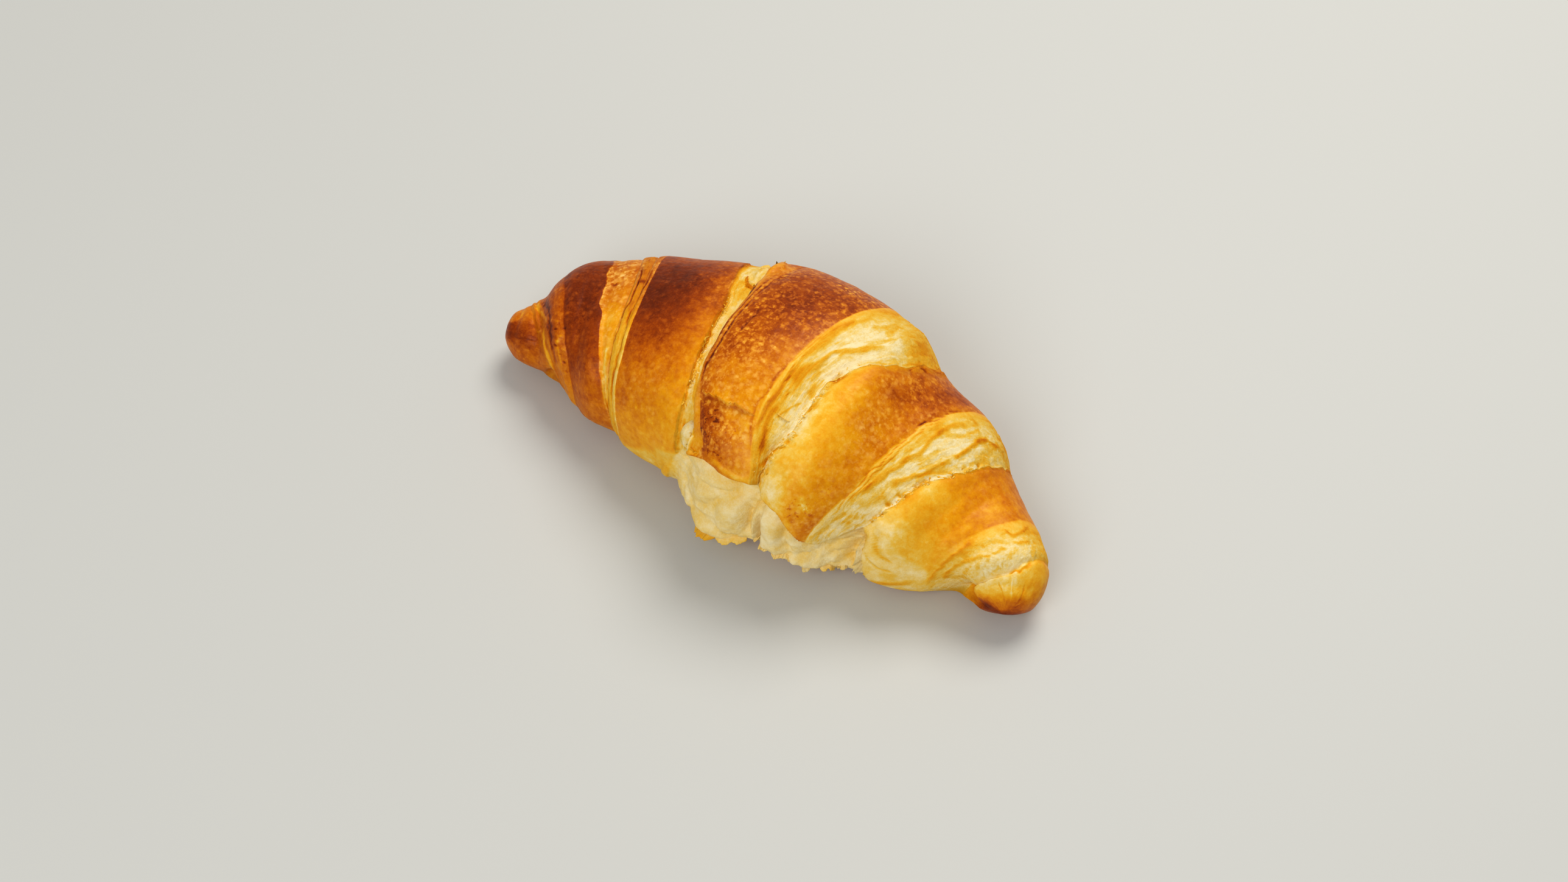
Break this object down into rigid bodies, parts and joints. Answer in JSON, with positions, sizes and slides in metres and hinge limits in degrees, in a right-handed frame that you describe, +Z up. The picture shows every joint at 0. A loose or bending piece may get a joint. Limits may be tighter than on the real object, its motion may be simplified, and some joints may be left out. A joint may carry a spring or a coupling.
{
  "type": "croissant",
  "caption": "Baked butter croissant: a gently curved roll of flaky layered dough with overlapping wraps, a pointed flap in the middle, a nub at each end and a flat sole.",
  "frame": {"origin": "centre of the bounding box's bottom face, on the sole", "axes": "+X along the croissant from its plain end to its hooked end, -Y towards the hollow front of the crescent, +Z up"},
  "size_m": [0.164, 0.0754, 0.0494],
  "materials": {
    "baked_dough": "egg-glazed golden brown crust with paler torn layers"
  },
  "bodies": {
    "root": {"croissant": "baked_dough"}
  },
  "joints": []
}
